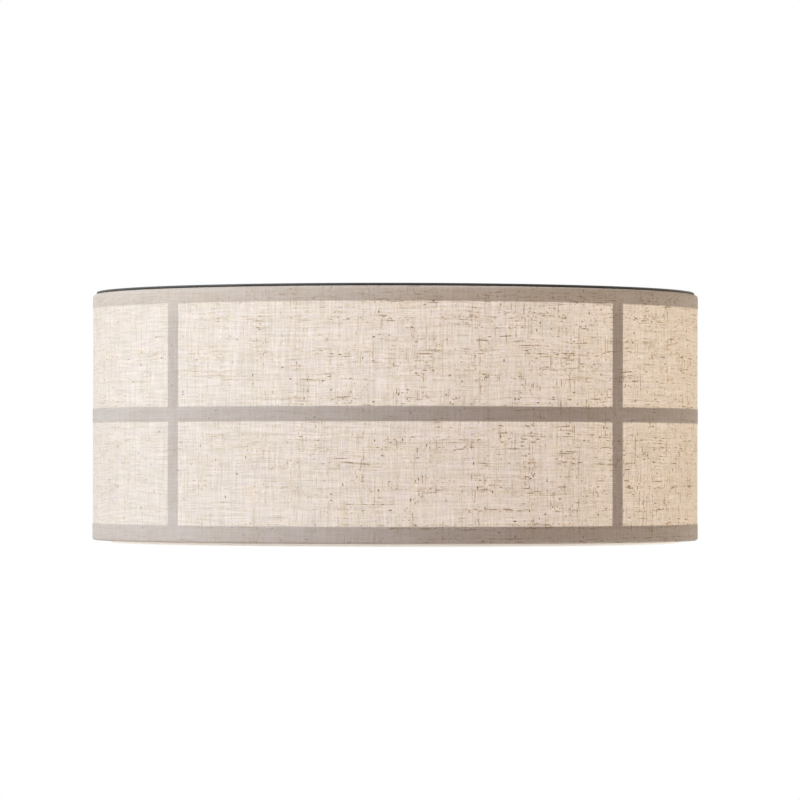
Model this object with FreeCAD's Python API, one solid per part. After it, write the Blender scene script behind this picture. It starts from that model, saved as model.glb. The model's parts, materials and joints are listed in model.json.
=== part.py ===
import FreeCAD, Part
import math
import os

# A drum ceiling light, in millimetres. Z = 0 is the ceiling and everything hangs below it.
# The front is -Y. Lamp pieces are drawn lying along +X and then turned to their place.

# How far a cutting shape reaches past what it cuts
past = 1.0

# Shade
shade_radius = 250.0
shade_top = -2.1
shade_height = 202.1
cloth = 0.5
panel_sink = 0.25
edge_roll_top = 3.0
edge_roll_bottom = 2.0
lining = 0.5
lining_gap = 0.03

# Frame of flat bar behind the lining
bar_width = 12.0
bar_thickness = 2.5
bar_gap = 0.05
top_band = 12.0
middle_band_top = -96.2
bottom_band = 13.7
upright_count = 4
upright_start_degrees = 45.0
lap_gap = 0.03

# Ledge and diffuser
ledge_width = 10.5
ledge_thickness = 1.5
diffuser_rim = 2.9
diffuser_gap = 1.0
diffuser_sheet = 2.0
diffuser_drop = 2.2
diffuser_edge = 1.6
seat_gap = 0.1

# Ceiling pan
rim_inset = 3.0
stud_reach = 8.32
pan_depth = 30.0
pan_sheet = 1.0
pan_corner = 4.0
hem_width = 4.0
hem_thickness = 1.8
reflector_inset = 13.0
reflector_sheet = 0.8
reflector_clearance = 1.0

# Bayonet that carries the shade
hanger_count = 3
hanger_start_degrees = 30.0
hanger_sheet = 1.5
hanger_top = -3.6
hanger_bottom = -20.0
stud_level = -12.0
stud_radius = 2.5
stud_clearance = 0.3
stud_collar = 4.5
stud_collar_length = 2.0
stud_head_height = 1.45
stud_bevel = 0.4
twist_degrees = 5.0
hanger_margin = 8.0
rivet_radius = 1.5
rivet_head = 2.75
rivet_head_height = 0.9
rivet_level = -8.0
rivet_inset = 3.0

# Crossbar on the ceiling
crossbar_length = 130.0
crossbar_width = 25.0
crossbar_sheet = 2.0
crossbar_corner = 5.0
slot_spacing = 70.0
slot_length = 20.0
slot_width = 5.0
pan_screw_spacing = 110.0
boss_radius = 3.6
boss_height = 3.0
thread_hole = 2.0
pan_screw_radius = 1.95
pan_screw_head = 4.0
pan_screw_head_height = 2.6
pan_screw_below_ceiling = 0.5
screw_hole_clearance = 0.3
screw_head_round = 0.8
thread_bevel = 0.6
recess_arm_share = 0.55
recess_slit_share = 0.12
recess_depth_share = 0.55

# Lamps
lamp_count = 3
lamp_start_degrees = 90.0
lamp_level = -68.0
bracket_face = 45.5
bracket_sheet = 1.5
bracket_width = 24.0
bracket_foot = 10.5
bracket_fold = 1.35
bracket_screw_spacing = 16.0
bracket_screw_radius = 1.6
bracket_screw_head = 3.0
bracket_screw_head_height = 1.8
bracket_screw_tip = 2.5
nipple_radius = 5.0
nipple_bore = 3.5
nipple_back = 9.5
nipple_front = 8.5
nut_flats = 14.0
nut_height = 3.0
turning_gap = 0.05

# Lamp holder
holder_length = 54.5
holder_radius = 19.5
holder_neck = 14.0
holder_floor = 20.5
holder_bore = 15.0
holder_mouth_lip = 1.5
holder_mouth_rim = 4.0
holder_mouth_bevel = 1.0
holder_neck_bevel = 1.5
holder_shoulder = 11.3
holder_shoulder_run = 5.0
wire_room = 16.5
shell_sheet = 0.4
shell_hole = 9.0
shell_run_in = 3.0
shell_run_out = 2.0
shell_turns = 6
cap_pitch = 3.629
cap_radius = 13.15
cap_thread_depth = 0.7
cap_clearance = 0.3
contact_sheet = 0.5
contact_reach = 9.9
contact_width = 7.0
contact_foot_half = 6.0
contact_tip_up = 3.0
contact_tip_down = 2.0
contact_bend = 1.0

# Bulb
bulb_start = 76.0
bulb_length = 110.0
bulb_radius = 30.0
foot_button = 4.5
foot_button_height = 1.0
foot_height = 5.0
foot_round = 1.0
foot_step = 0.5
foot_taper = 2.2
cap_length = 27.0
cap_sheet = 0.4
cap_run_in = 1.5
cap_lip = 2.4
cap_lip_width = 1.0
cap_turns = 5
collar_end = 64.0
collar_sheet = 1.5
collar_step = 0.5
collar_waist = 1.6
dome_sheet = 1.2

# Terminal block and wiring
block_place = -75.0
block_level = -20.0
block_length = 18.0
pole_pitch = 11.0
pole_radius = 5.2
pole_bore = 3.65
block_web = 5.0
block_web_half = 5.4
block_flange = 9.0
turret_radius = 3.4
turret_top = -13.0
turret_bore = 2.4
insert_radius = 3.6
insert_bore = 2.6
insert_length = 16.0
clamp_screw_radius = 1.4
clamp_screw_place = 4.0
clamp_screw_sink = 1.0
clamp_slit_half = 0.25
clamp_slit_depth = 0.8
lead_radius = 1.0
lead_bundle = 1.28
lead_pair = 1.5
lead_bend = 7.0
clamp_end = 4.0
lane_start = 31.0
clamp_out = 13.0
base_lane = -20.0
neutral_lane = -15.5
live_lane = -11.0
grommet_place = 25.0
grommet_radius = 7.0
grommet_neck = 5.5
grommet_bore = 4.0
grommet_lip = 1.5
tag_place = -36.0
tag_radius = 4.0
tag_sheet = 0.8
tag_barrel = 1.7
tag_barrel_length = 5.0
tag_neck = 2.0
tag_neck_half = 1.5
tag_joint = 0.5
tag_stop = 1.0
earth_lead_run = 3.0
disc_screw_radius = 2.0
disc_screw_head = 3.8
disc_screw_head_height = 2.2
disc_screw_length = 8.0

# Sizes that follow
shade_bottom = shade_top - shade_height
cloth_inner = shade_radius - cloth
lining_outer = cloth_inner - lining_gap
lining_inner = lining_outer - lining
bar_outer = lining_inner - bar_gap
bar_inner = bar_outer - bar_thickness
lap_radius = bar_inner + bar_thickness / 2
top_band_low = shade_top - top_band
middle_band_low = middle_band_top - bar_width
bottom_band_top = shade_bottom + bottom_band
frame_top = shade_top - cloth
frame_bottom = shade_bottom + cloth
ledge_inner = bar_inner - ledge_width
ledge_top = frame_bottom + ledge_thickness
bar_half_angle = math.degrees(bar_width / 2 / bar_outer)
hanger_outer = bar_inner - bar_gap
hanger_inner = hanger_outer - hanger_sheet
stud_tip = hanger_outer - bar_gap
pan_radius = stud_tip - stud_reach
pan_rim_radius = shade_radius - rim_inset
pan_inside = pan_radius - pan_sheet
reflector_radius = pan_radius - reflector_inset
stud_slot = stud_radius + stud_clearance
disc_top = -pan_depth + pan_sheet
disc_under = -pan_depth
reflector_top = disc_under - bar_gap
reflector_under = reflector_top - reflector_sheet
foot_top = reflector_under - bar_gap
bracket_back = bracket_face - bracket_sheet
holder_mouth = bracket_face + holder_length
floor_face = bracket_face + holder_floor
shell_mid = cap_radius + cap_clearance
bulb_tip = bulb_start + bulb_length
dome_centre = bulb_tip - bulb_radius
collar_top = bulb_start + collar_end
collar_rim = math.sqrt(bulb_radius ** 2 - (dome_centre - collar_top) ** 2)
cap_end = bulb_start + cap_length
diagonal = math.sqrt(0.5)


def point(x, y, z):
    return FreeCAD.Vector(x, y, z)


def flat_face(corners):
    """Closed face in the XZ plane. A corner (x, z, "arc") is the middle of an arc between its neighbours."""
    places = [point(corner[0], 0, corner[1]) for corner in corners]
    middles = [len(corner) == 3 for corner in corners]
    edges = []
    for index in range(len(corners)):
        after = (index + 1) % len(corners)
        beyond = (index + 2) % len(corners)
        if middles[index]:
            continue
        if middles[after]:
            edges.append(Part.Arc(places[index], places[after], places[beyond]).toShape())
        else:
            edges.append(Part.LineSegment(places[index], places[after]).toShape())
    return Part.Face(Part.Wire(edges))


def turned_upright(corners):
    """Turned about the drum's axis: corners are (radius, level)."""
    return flat_face(corners).revolve(point(0, 0, 0), point(0, 0, 1), 360)


def turned_level(corners):
    """Turned about the X axis: corners are (place along the lamp, radius)."""
    return flat_face(corners).revolve(point(0, 0, 0), point(1, 0, 0), 360)


def block(low, high):
    size = high - low
    return Part.makeBox(size.x, size.y, size.z, low)


def ring(inner, outer, low, high):
    return turned_upright([(inner, low), (outer, low), (outer, high), (inner, high)])


def sector(inner, outer, low, high, start, end):
    """Stretch of a ring between two angles in degrees, counter-clockwise from +X."""
    wedge = Part.makeCylinder(outer, high - low, point(0, 0, low), point(0, 0, 1), end - start)
    core = Part.makeCylinder(inner, high - low + 2 * past, point(0, 0, low - past))
    return at_angle(wedge.cut(core), start)


def at_angle(shape, degrees):
    turned = shape.copy()
    turned.rotate(point(0, 0, 0), point(0, 0, 1), degrees)
    return turned


def at_lamp(shape, degrees):
    level = shape.copy()
    level.translate(point(0, 0, lamp_level))
    return at_angle(level, degrees)


def angles(count, first):
    return [first + 360 * index / count for index in range(count)]


def peg(radius, x, y, low, high):
    return Part.makeCylinder(radius, high - low, point(x, y, low))


def radial_peg(radius, near, far, level):
    """Peg along +X from one radius to another."""
    return Part.makeCylinder(radius, far - near, point(near, 0, level), point(1, 0, 0))


def cross_screw(shank, head, head_height, length):
    """Screw standing on its head: head from 0 up, shank above it, cross recess below."""
    arc = screw_head_round * (1 - diagonal)
    tip = head_height + length
    corners = [(0, 0), (head - screw_head_round, 0), (head - arc, arc, "arc"), (head, screw_head_round)]
    corners += [(head, head_height), (shank, head_height), (shank, tip - thread_bevel)]
    corners += [(shank - thread_bevel, tip), (0, tip)]
    screw = turned_upright(corners)
    arm = head * recess_arm_share
    slit = head * recess_slit_share
    depth = head_height * recess_depth_share
    screw = screw.cut(block(point(-arm, -slit, -past), point(arm, slit, depth)))
    return screw.cut(block(point(-slit, -arm, -past), point(slit, arm, depth)))


def runs_along(edge, direction):
    """True for a straight edge that lies along a direction."""
    return abs(edge.tangentAt(edge.FirstParameter).dot(direction)) > diagonal


def bent_path(points, bend):
    """Straight runs joined by arcs of one radius."""
    edges = []
    start = points[0]
    for before, corner, after in zip(points, points[1:], points[2:]):
        into = (corner - before).normalize()
        out = (after - corner).normalize()
        half_turn = into.getAngle(out) / 2
        reach = bend * math.tan(half_turn)
        first = corner - into * reach
        last = corner + out * reach
        inward = (out - into).normalize()
        middle = corner + inward * (bend / math.cos(half_turn) - bend)
        edges.append(Part.LineSegment(start, first).toShape())
        edges.append(Part.Arc(first, middle, last).toShape())
        start = last
    edges.append(Part.LineSegment(start, points[-1]).toShape())
    return Part.Wire(edges)


def lead_along(points):
    path = bent_path(points, lead_bend)
    circle = Part.makeCircle(lead_radius, points[0], points[1] - points[0])
    tube = path.makePipeShell([Part.Wire([circle])], True, False)
    print("lead", round(path.Length, 1), "mm long, bends of", lead_bend, "mm radius")
    return tube


def save(name, shape):
    shape.exportStep(f"parts/{name}.step")


def save_group(name, shapes):
    save(name, Part.makeCompound(shapes))


# Shade and its frame

def linen_skin():
    top_arc = edge_roll_top * (1 - diagonal)
    low_arc = edge_roll_bottom * (1 - diagonal)
    corners = [(bar_inner, shade_bottom), (shade_radius - edge_roll_bottom, shade_bottom)]
    corners += [(shade_radius - low_arc, shade_bottom + low_arc, "arc")]
    corners += [(shade_radius, shade_bottom + edge_roll_bottom), (shade_radius, shade_top - edge_roll_top)]
    corners += [(shade_radius - top_arc, shade_top - top_arc, "arc")]
    corners += [(shade_radius - edge_roll_top, shade_top), (bar_inner, shade_top), (bar_inner, frame_top)]
    corners += [(cloth_inner - edge_roll_top, frame_top)]
    corners += [(cloth_inner - top_arc, frame_top - top_arc, "arc"), (cloth_inner, frame_top - edge_roll_top)]
    corners += [(cloth_inner, frame_bottom + edge_roll_bottom)]
    corners += [(cloth_inner - low_arc, frame_bottom + low_arc, "arc")]
    corners += [(cloth_inner - edge_roll_bottom, frame_bottom), (bar_inner, frame_bottom)]
    skin = turned_upright(corners)
    rows = [(middle_band_top, top_band_low), (bottom_band_top, middle_band_low)]
    for start in angles(upright_count, upright_start_degrees):
        end = start + 360 / upright_count
        for low, high in rows:
            skin = skin.cut(sector(shade_radius - panel_sink, shade_radius + past, low, high,
                                   start + bar_half_angle, end - bar_half_angle))
    return skin


def shade_lining():
    return ring(lining_inner, lining_outer, frame_bottom + edge_roll_bottom, frame_top - edge_roll_top)


def edge_corners(level, inward):
    """Bar corner rounded to follow the cloth's roll. inward is -1 at the top edge and 1 at the bottom."""
    roll = edge_roll_top if inward < 0 else edge_roll_bottom
    turn = roll - (cloth_inner - bar_outer)
    if turn <= 0:
        return [(bar_outer, level)]
    arc = turn * (1 - diagonal)
    rounded = [(bar_outer, level + inward * turn), (bar_outer - arc, level + inward * arc, "arc")]
    rounded += [(bar_outer - turn, level)]
    return rounded if inward < 0 else rounded[::-1]


def notched(bar, low, high):
    """Inner half of a ring cut away where the uprights lap into it."""
    for angle in angles(upright_count, upright_start_degrees):
        bar = bar.cut(sector(bar_inner - past, lap_radius + lap_gap, low, high,
                             angle - bar_half_angle, angle + bar_half_angle))
    return bar


def with_rivet_holes(bar):
    hole = radial_peg(rivet_radius, bar_inner - past, bar_outer + past, rivet_level)
    for angle in rivet_angles():
        bar = bar.cut(at_angle(hole, angle))
    return bar


def frame_top_ring():
    corners = [(bar_inner, top_band_low), (bar_outer, top_band_low)]
    corners += edge_corners(frame_top - bar_gap, -1)
    corners += [(bar_inner, frame_top - bar_gap)]
    return with_rivet_holes(notched(turned_upright(corners), top_band_low - past, frame_top + past))


def frame_middle_ring():
    bar = ring(bar_inner, bar_outer, middle_band_low, middle_band_top)
    return notched(bar, middle_band_low - past, middle_band_top + past)


def frame_bottom_ring():
    corners = [(bar_inner, frame_bottom + bar_gap)]
    corners += edge_corners(frame_bottom + bar_gap, 1)
    corners += [(bar_outer, bottom_band_top), (bar_inner, bottom_band_top)]
    return notched(turned_upright(corners), ledge_top, bottom_band_top + past)


def diffuser_ledge():
    """Flat ring brazed into the bottom ring, where the diffuser's rim rests."""
    return ring(ledge_inner, bar_inner - bar_gap, frame_bottom + bar_gap, ledge_top)


def frame_upright(angle):
    start = angle - bar_half_angle
    end = angle + bar_half_angle
    bar = sector(bar_inner, bar_outer, ledge_top, frame_top - edge_roll_top, start, end)
    laps = [(top_band_low, frame_top + past), (middle_band_low, middle_band_top)]
    laps += [(ledge_top - past, bottom_band_top)]
    beyond = bar_half_angle / 2
    for low, high in laps:
        bar = bar.cut(sector(lap_radius, bar_outer + past, low, high, start - beyond, end + beyond))
    return bar


def diffuser_dish():
    rim = bar_inner - diffuser_rim
    wall = ledge_inner - diffuser_gap
    under = shade_bottom - diffuser_drop
    seat = ledge_top + seat_gap
    arc = diffuser_edge * (1 - diagonal)
    corners = [(0, under), (wall - diffuser_edge, under), (wall - arc, under + arc, "arc")]
    corners += [(wall, under + diffuser_edge), (wall, seat), (rim, seat), (rim, seat + diffuser_sheet)]
    corners += [(wall - diffuser_sheet, seat + diffuser_sheet)]
    corners += [(wall - diffuser_sheet, under + diffuser_sheet), (0, under + diffuser_sheet)]
    return turned_upright(corners)


# Bayonet

def hanger_span():
    """Angles of a hanger's two ends from its stud at rest, in degrees."""
    per_mm = math.degrees(1 / hanger_inner)
    reach = (stud_slot + hanger_margin) * per_mm
    return -twist_degrees - reach, reach


def rivet_angles():
    start, end = hanger_span()
    inset = math.degrees(rivet_inset / hanger_inner)
    places = []
    for angle in angles(hanger_count, hanger_start_degrees):
        places += [angle + start + inset, angle + end - inset]
    return places


def bayonet_hanger(angle):
    """Plate with an L-shaped slot: the stud enters from the top and slides to the slot's closed end."""
    start, end = hanger_span()
    near = hanger_inner - past
    far = hanger_outer + past
    half = math.degrees(math.asin(stud_slot / hanger_inner))
    slot_end = radial_peg(stud_slot, near, far, stud_level)
    plate = sector(hanger_inner, hanger_outer, hanger_bottom, hanger_top, start, end)
    plate = plate.cut(sector(near, far, stud_level - stud_slot, stud_level + stud_slot, -twist_degrees, 0))
    plate = plate.cut(slot_end)
    plate = plate.cut(at_angle(slot_end, -twist_degrees))
    plate = plate.cut(sector(near, far, stud_level, hanger_top + past,
                             -twist_degrees - half, -twist_degrees + half))
    inset = math.degrees(rivet_inset / hanger_inner)
    rivet_hole = radial_peg(rivet_radius, near, far, rivet_level)
    for place in (start + inset, end - inset):
        plate = plate.cut(at_angle(rivet_hole, place))
    return at_angle(plate, angle)


def hanger_rivet(angle):
    face = hanger_inner - bar_gap
    crown = face - rivet_head_height
    shank = radial_peg(rivet_radius - bar_gap / 2, (face + crown) / 2, bar_outer - bar_gap, rivet_level)
    corners = [(crown, 0), (face - rivet_head_height * diagonal, rivet_head * diagonal, "arc")]
    corners += [(face, rivet_head), (face, 0)]
    head = turned_level(corners)
    head.translate(point(0, 0, rivet_level))
    return at_angle(head.fuse(shank).removeSplitter(), angle)


def bayonet_stud(angle):
    """Shouldered stud: a flat head inside the pan, its shank through the side, a collar and a tip outside."""
    head = pan_inside - bar_gap
    shoulder = pan_radius + bar_gap
    collar_end = pan_radius + stud_collar_length
    corners = [(head - stud_head_height, 0), (head - stud_head_height, stud_collar), (head, stud_collar)]
    corners += [(head, stud_radius), (shoulder, stud_radius), (shoulder, stud_collar)]
    corners += [(collar_end, stud_collar), (collar_end, stud_radius), (stud_tip - stud_bevel, stud_radius)]
    corners += [(stud_tip, stud_radius - stud_bevel), (stud_tip, 0)]
    stud = turned_level(corners)
    stud.translate(point(0, 0, stud_level))
    return at_angle(stud, angle)


# Pan and ceiling fixing

def bracket_screw_places():
    x = bracket_back - bracket_foot / 2
    return [(x, -bracket_screw_spacing / 2), (x, bracket_screw_spacing / 2)]


def disc_holes(low, high, pan_screw_hole, tag_hole):
    """Everything that passes through the pan's disc or the reflector."""
    holes = []
    for side in (-1, 1):
        holes.append(peg(pan_screw_hole, side * pan_screw_spacing / 2, 0, low, high))
    for angle in angles(lamp_count, lamp_start_degrees):
        holes.append(at_angle(peg(grommet_neck + turning_gap, grommet_place, 0, low, high), angle))
        for x, y in bracket_screw_places():
            holes.append(at_angle(peg(bracket_screw_radius + turning_gap, x, y, low, high), angle))
    holes.append(peg(tag_hole, 0, tag_place, low, high))
    for side in (-1, 1):
        holes.append(peg(tag_hole, side * fixing_place(), block_place, low, high))
    return holes


def fixing_place():
    return pole_pitch + pole_radius + block_flange / 2


def ceiling_pan():
    hem = pan_rim_radius - hem_width
    hem_arc = hem_thickness / 2
    arc = pan_corner * (1 - diagonal)
    inner_corner = pan_corner - pan_sheet
    inner_arc = inner_corner * (1 - diagonal)
    corners = [(0, disc_under), (pan_radius - pan_corner, disc_under)]
    corners += [(pan_radius - arc, disc_under + arc, "arc"), (pan_radius, disc_under + pan_corner)]
    corners += [(pan_radius, -pan_sheet), (hem, -pan_sheet), (hem, -hem_thickness)]
    corners += [(pan_rim_radius - hem_arc, -hem_thickness), (pan_rim_radius, -hem_arc, "arc")]
    corners += [(pan_rim_radius - hem_arc, 0), (pan_inside, 0), (pan_inside, disc_top + inner_corner)]
    corners += [(pan_inside - inner_arc, disc_top + inner_arc, "arc"), (pan_inside - inner_corner, disc_top)]
    corners += [(0, disc_top)]
    pan = turned_upright(corners)
    screw_hole = pan_screw_radius + screw_hole_clearance
    for gone in disc_holes(disc_under - past, disc_top + past, screw_hole, disc_screw_radius + turning_gap):
        pan = pan.cut(gone)
    stud_hole = radial_peg(stud_radius + turning_gap, pan_inside - past, pan_radius + past, stud_level)
    for angle in angles(hanger_count, hanger_start_degrees):
        pan = pan.cut(at_angle(stud_hole, angle))
    return pan


def reflector_plate():
    plate = peg(reflector_radius, 0, 0, reflector_under, reflector_top)
    screw_hole = pan_screw_head + reflector_clearance
    tip_hole = disc_screw_radius + reflector_clearance
    for gone in disc_holes(reflector_under - past, reflector_top + past, screw_hole, tip_hole):
        plate = plate.cut(gone)
    return plate


def mounting_crossbar():
    half = crossbar_length / 2
    wide = crossbar_width / 2
    slot_half = slot_width / 2
    straight = slot_length / 2 - slot_half
    low = -crossbar_sheet - boss_height - past
    bar = block(point(-half, -wide, -crossbar_sheet), point(half, wide, 0))
    corner_edges = [edge for edge in bar.Edges if runs_along(edge, point(0, 0, 1))]
    bar = bar.makeFillet(crossbar_corner, corner_edges)
    for side in (-1, 1):
        x = side * slot_spacing / 2
        bar = bar.cut(block(point(x - straight, -slot_half, low), point(x + straight, slot_half, past)))
        bar = bar.cut(peg(slot_half, x - straight, 0, low, past))
        bar = bar.cut(peg(slot_half, x + straight, 0, low, past))
        x = side * pan_screw_spacing / 2
        bar = bar.fuse(peg(boss_radius, x, 0, -crossbar_sheet - boss_height, -crossbar_sheet / 2))
        bar = bar.cut(peg(thread_hole, x, 0, low, past))
    return bar.removeSplitter()


def pan_screw(side):
    screw = cross_screw(pan_screw_radius, pan_screw_head, pan_screw_head_height,
                        pan_depth - pan_screw_below_ceiling)
    screw.translate(point(side * pan_screw_spacing / 2, 0, disc_under - pan_screw_head_height))
    return screw


# Lamp holders, drawn along +X at level 0 and carried to lamp_level

def bracket_screw(x, y):
    under = foot_top - bracket_sheet - lamp_level
    screw = cross_screw(bracket_screw_radius, bracket_screw_head, bracket_screw_head_height,
                        disc_top - foot_top + bracket_sheet + bracket_screw_tip)
    screw.translate(point(x, y, under - bracket_screw_head_height))
    return screw


def holder_bracket():
    top = foot_top - lamp_level
    half = bracket_width / 2
    leg = block(point(bracket_back, -half, 0), point(bracket_face, half, top))
    leg = leg.fuse(Part.makeCylinder(half, bracket_sheet, point(bracket_back, 0, 0), point(1, 0, 0)))
    foot = block(point(bracket_back - bracket_foot, -half, top - bracket_sheet),
                 point(bracket_face, half, top))
    bracket = leg.fuse(foot).removeSplitter()
    folds = []
    for edge in bracket.Edges:
        from_fold = edge.CenterOfMass - point(bracket_face, 0, top)
        if runs_along(edge, point(0, 1, 0)) and from_fold.Length < turning_gap:
            folds.append(edge)
    bracket = bracket.makeFillet(bracket_fold, folds)
    nipple_hole = radial_peg(nipple_radius + turning_gap, bracket_back - past, bracket_face + past, 0)
    bracket = bracket.cut(nipple_hole)
    for x, y in bracket_screw_places():
        bracket = bracket.cut(peg(bracket_screw_radius + turning_gap, x, y,
                                  top - bracket_sheet - past, top + past))
    return bracket


def holder_nipple():
    start = bracket_back - nipple_back + bracket_sheet
    end = bracket_face + nipple_front
    corners = [(start, nipple_bore), (start, nipple_radius - thread_bevel)]
    corners += [(start + thread_bevel, nipple_radius), (end - thread_bevel, nipple_radius)]
    corners += [(end, nipple_radius - thread_bevel), (end, nipple_bore)]
    return turned_level(corners)


def holder_locknut():
    across = nut_flats / math.sqrt(3)
    corners = []
    for index in range(7):
        angle = math.radians(60 * index)
        corners.append(point(0, across * math.cos(angle), across * math.sin(angle)))
    nut = Part.Face(Part.makePolygon(corners)).extrude(point(nut_height, 0, 0))
    nut.translate(point(bracket_back - nut_height, 0, 0))
    return nut.cut(radial_peg(nipple_radius + turning_gap, bracket_back - nut_height - past, bracket_face, 0))


def holder_body():
    room_end = bracket_face + wire_room
    room_radius = nipple_radius - thread_bevel
    nipple_end = bracket_face + nipple_front + turning_gap
    shoulder = bracket_face + holder_shoulder
    rise = (holder_radius - holder_neck) * (1 - diagonal)
    run = holder_shoulder_run * (1 - diagonal)
    rim_start = holder_mouth - holder_mouth_rim
    rim_radius = holder_radius + holder_mouth_lip
    corners = [(bracket_face, nipple_radius + turning_gap), (bracket_face, holder_neck - holder_neck_bevel)]
    corners += [(bracket_face + holder_neck_bevel, holder_neck)]
    corners += [(shoulder - holder_shoulder_run, holder_neck)]
    corners += [(shoulder - run, holder_neck + rise, "arc"), (shoulder, holder_radius)]
    corners += [(rim_start, holder_radius), (rim_start, rim_radius)]
    corners += [(holder_mouth - holder_mouth_bevel, rim_radius)]
    corners += [(holder_mouth, rim_radius - holder_mouth_bevel)]
    corners += [(holder_mouth, holder_bore), (floor_face, holder_bore), (floor_face, 0), (room_end, 0)]
    corners += [(room_end, room_radius), (nipple_end, room_radius), (nipple_end, nipple_radius + turning_gap)]
    return turned_level(corners)


def thread_wave(start, turns, middle, depth, step):
    """Rounded thread as rings: crests and roots half a pitch apart, starting outwards."""
    corners = [(start, middle)]
    for turn in range(turns):
        x = start + turn * step
        corners += [(x + step / 4, middle + depth / 2, "arc"), (x + step / 2, middle)]
        corners += [(x + step * 3 / 4, middle - depth / 2, "arc"), (x + step, middle)]
    return corners


def holder_shell():
    start = floor_face + turning_gap
    wave_start = start + shell_run_in
    middle = shell_mid + cap_thread_depth / 2
    inner = thread_wave(wave_start, shell_turns, middle, cap_thread_depth, cap_pitch)
    outer = thread_wave(wave_start, shell_turns, middle + shell_sheet, cap_thread_depth, cap_pitch)
    end = wave_start + shell_turns * cap_pitch + shell_run_out
    corners = [(start, shell_hole), (start, middle + shell_sheet)] + outer
    corners += [(end, middle + shell_sheet), (end, middle)] + inner[::-1]
    corners += [(start + shell_sheet, middle), (start + shell_sheet, shell_hole)]
    return turned_level(corners)


def holder_contact():
    """Sprung tongue that rises from the floor to the bulb's button."""
    foot = floor_face
    top = floor_face + contact_sheet
    tip = floor_face + contact_reach
    bend = contact_bend
    corners = [(foot, -contact_foot_half), (foot, contact_foot_half), (top, contact_foot_half)]
    corners += [(top, bend - contact_foot_half), (tip - contact_sheet, bend / 2 - contact_tip_down)]
    corners += [(tip - contact_sheet, contact_tip_up), (tip, contact_tip_up), (tip, -contact_tip_down)]
    corners += [(top + contact_sheet, -contact_foot_half)]
    tongue = flat_face(corners).extrude(point(0, contact_width, 0))
    tongue.translate(point(0, -contact_width / 2, 0))
    return tongue


# Bulbs

def bulb_foot():
    base = bulb_start + foot_button_height
    end = bulb_start + foot_height
    arc = foot_round * (1 - diagonal)
    corners = [(bulb_start, 0), (bulb_start, foot_button - foot_round)]
    corners += [(bulb_start + arc, foot_button - arc, "arc"), (base, foot_button)]
    corners += [(base, foot_button + foot_step), (end, cap_radius - foot_taper), (end, 0)]
    return turned_level(corners)


def bulb_cap():
    start = bulb_start + foot_height + turning_gap
    wave_start = start + cap_run_in
    middle = cap_radius - cap_thread_depth / 2
    lip = cap_radius - cap_lip
    outer = thread_wave(wave_start, cap_turns, middle, cap_thread_depth, cap_pitch)
    inner = thread_wave(wave_start, cap_turns, middle - cap_sheet, cap_thread_depth, cap_pitch)
    corners = [(start, lip - cap_lip_width), (start, lip)] + outer
    corners += [(cap_end, cap_radius), (cap_end, cap_radius - cap_sheet)] + inner[::-1]
    corners += [(start + cap_sheet, lip - cap_lip_width)]
    return turned_level(corners)


def bulb_collar():
    start = cap_end + turning_gap
    neck = cap_radius + collar_step
    middle = (start + collar_top) / 2
    belly = (neck + collar_rim) / 2 - collar_waist
    corners = [(start, neck), (middle, belly, "arc"), (collar_top, collar_rim)]
    corners += [(collar_top, collar_rim - collar_sheet), (middle, belly - collar_sheet, "arc")]
    corners += [(start, neck - collar_sheet)]
    return turned_level(corners)


def bulb_dome():
    start = collar_top + turning_gap
    inner_radius = bulb_radius - dome_sheet
    outer_rim = math.sqrt(bulb_radius ** 2 - (dome_centre - start) ** 2)
    inner_rim = math.sqrt(inner_radius ** 2 - (dome_centre - start) ** 2)
    corners = [(start, outer_rim), (dome_centre + bulb_radius * diagonal, bulb_radius * diagonal, "arc")]
    corners += [(bulb_tip, 0), (bulb_tip - dome_sheet, 0)]
    corners += [(dome_centre + inner_radius * diagonal, inner_radius * diagonal, "arc"), (start, inner_rim)]
    return turned_level(corners)


# Terminal block, wiring and earth

def pole_places():
    return [-pole_pitch, 0, pole_pitch]


def along_y(radius, x, start, length, level):
    """Peg along +Y."""
    return Part.makeCylinder(radius, length, point(x, start, level), point(0, 1, 0))


def clamp_places():
    return [(x, block_place + side * clamp_screw_place) for x in pole_places() for side in (-1, 1)]


def terminal_block():
    near = block_place + block_length / 2
    far = block_place - block_length / 2
    end = pole_pitch + pole_radius + block_flange
    web_top = disc_top + block_web
    body = block(point(-end, block_place - block_web_half, disc_top),
                 point(end, block_place + block_web_half, web_top))
    for x in pole_places():
        body = body.fuse(block(point(x - pole_radius, far, disc_top),
                               point(x + pole_radius, near, block_level)))
        body = body.fuse(along_y(pole_radius, x, far, block_length, block_level))
    for x, y in clamp_places():
        body = body.fuse(peg(turret_radius, x, y, block_level, turret_top))
    for x in pole_places():
        body = body.cut(along_y(pole_bore, x, far - past, block_length + 2 * past, block_level))
    for x, y in clamp_places():
        body = body.cut(peg(turret_bore, x, y, block_level, turret_top + past))
    for side in (-1, 1):
        body = body.cut(peg(disc_screw_radius + turning_gap, side * fixing_place(), block_place,
                            disc_top - past, web_top + past))
    return body.removeSplitter()


def terminal_insert(x):
    start = block_place - insert_length / 2
    insert = along_y(insert_radius, x, start, insert_length, block_level)
    insert = insert.cut(along_y(insert_bore, x, start - past, insert_length + 2 * past, block_level))
    for side in (-1, 1):
        y = block_place + side * clamp_screw_place
        insert = insert.cut(peg(clamp_screw_radius + turning_gap, x, y, block_level, turret_top))
    return insert


def clamp_screw(x, y):
    tip = block_level + lead_bundle + lead_radius + turning_gap
    top = turret_top - clamp_screw_sink
    wide = clamp_screw_radius + past
    slit = block(point(x - wide, y - clamp_slit_half, top - clamp_slit_depth),
                 point(x + wide, y + clamp_slit_half, top + past))
    return peg(clamp_screw_radius, x, y, tip, top).cut(slit)


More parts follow.
